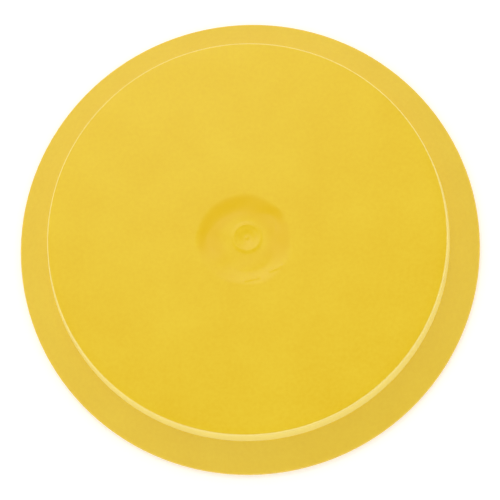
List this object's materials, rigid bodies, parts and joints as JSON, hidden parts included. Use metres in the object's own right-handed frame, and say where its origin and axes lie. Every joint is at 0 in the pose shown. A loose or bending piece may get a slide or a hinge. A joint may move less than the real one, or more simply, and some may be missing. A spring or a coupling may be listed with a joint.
{
  "type": "ice stock running sole",
  "caption": "Round two-tier running sole for an ice stock: flat wear disc with a skirt on a conical ribbed carrier, with a threaded centre bush and a steel ballast ring behind.",
  "frame": {"origin": "centre of the back, on the plane that the sole rests on", "axes": "+Z is the plate's axis and points out of the running face; +X and +Y lie in the back plane, with +X through one rib"},
  "size_m": [0.27, 0.27, 0.0304],
  "materials": {
    "yellow_moulding": "satin moulded, dyed through",
    "zinc_steel": "turned and zinc plated",
    "brass": "turned",
    "black_rubber": "moulded, matt",
    "blued_screw_steel": "black oxide"
  },
  "bodies": {
    "root": {"running_disc": "yellow_moulding", "carrier_body": "yellow_moulding", "threaded_bush": "zinc_steel", "ballast_ring": "zinc_steel", "friction_ring": "black_rubber", "disc_inserts": "brass", "disc_screws": "zinc_steel", "disc_screw_washers": "zinc_steel", "ballast_screws": "blued_screw_steel", "bush_screws": "blued_screw_steel", "disc_seal": "black_rubber", "bush_seal": "black_rubber"}
  },
  "joints": []
}
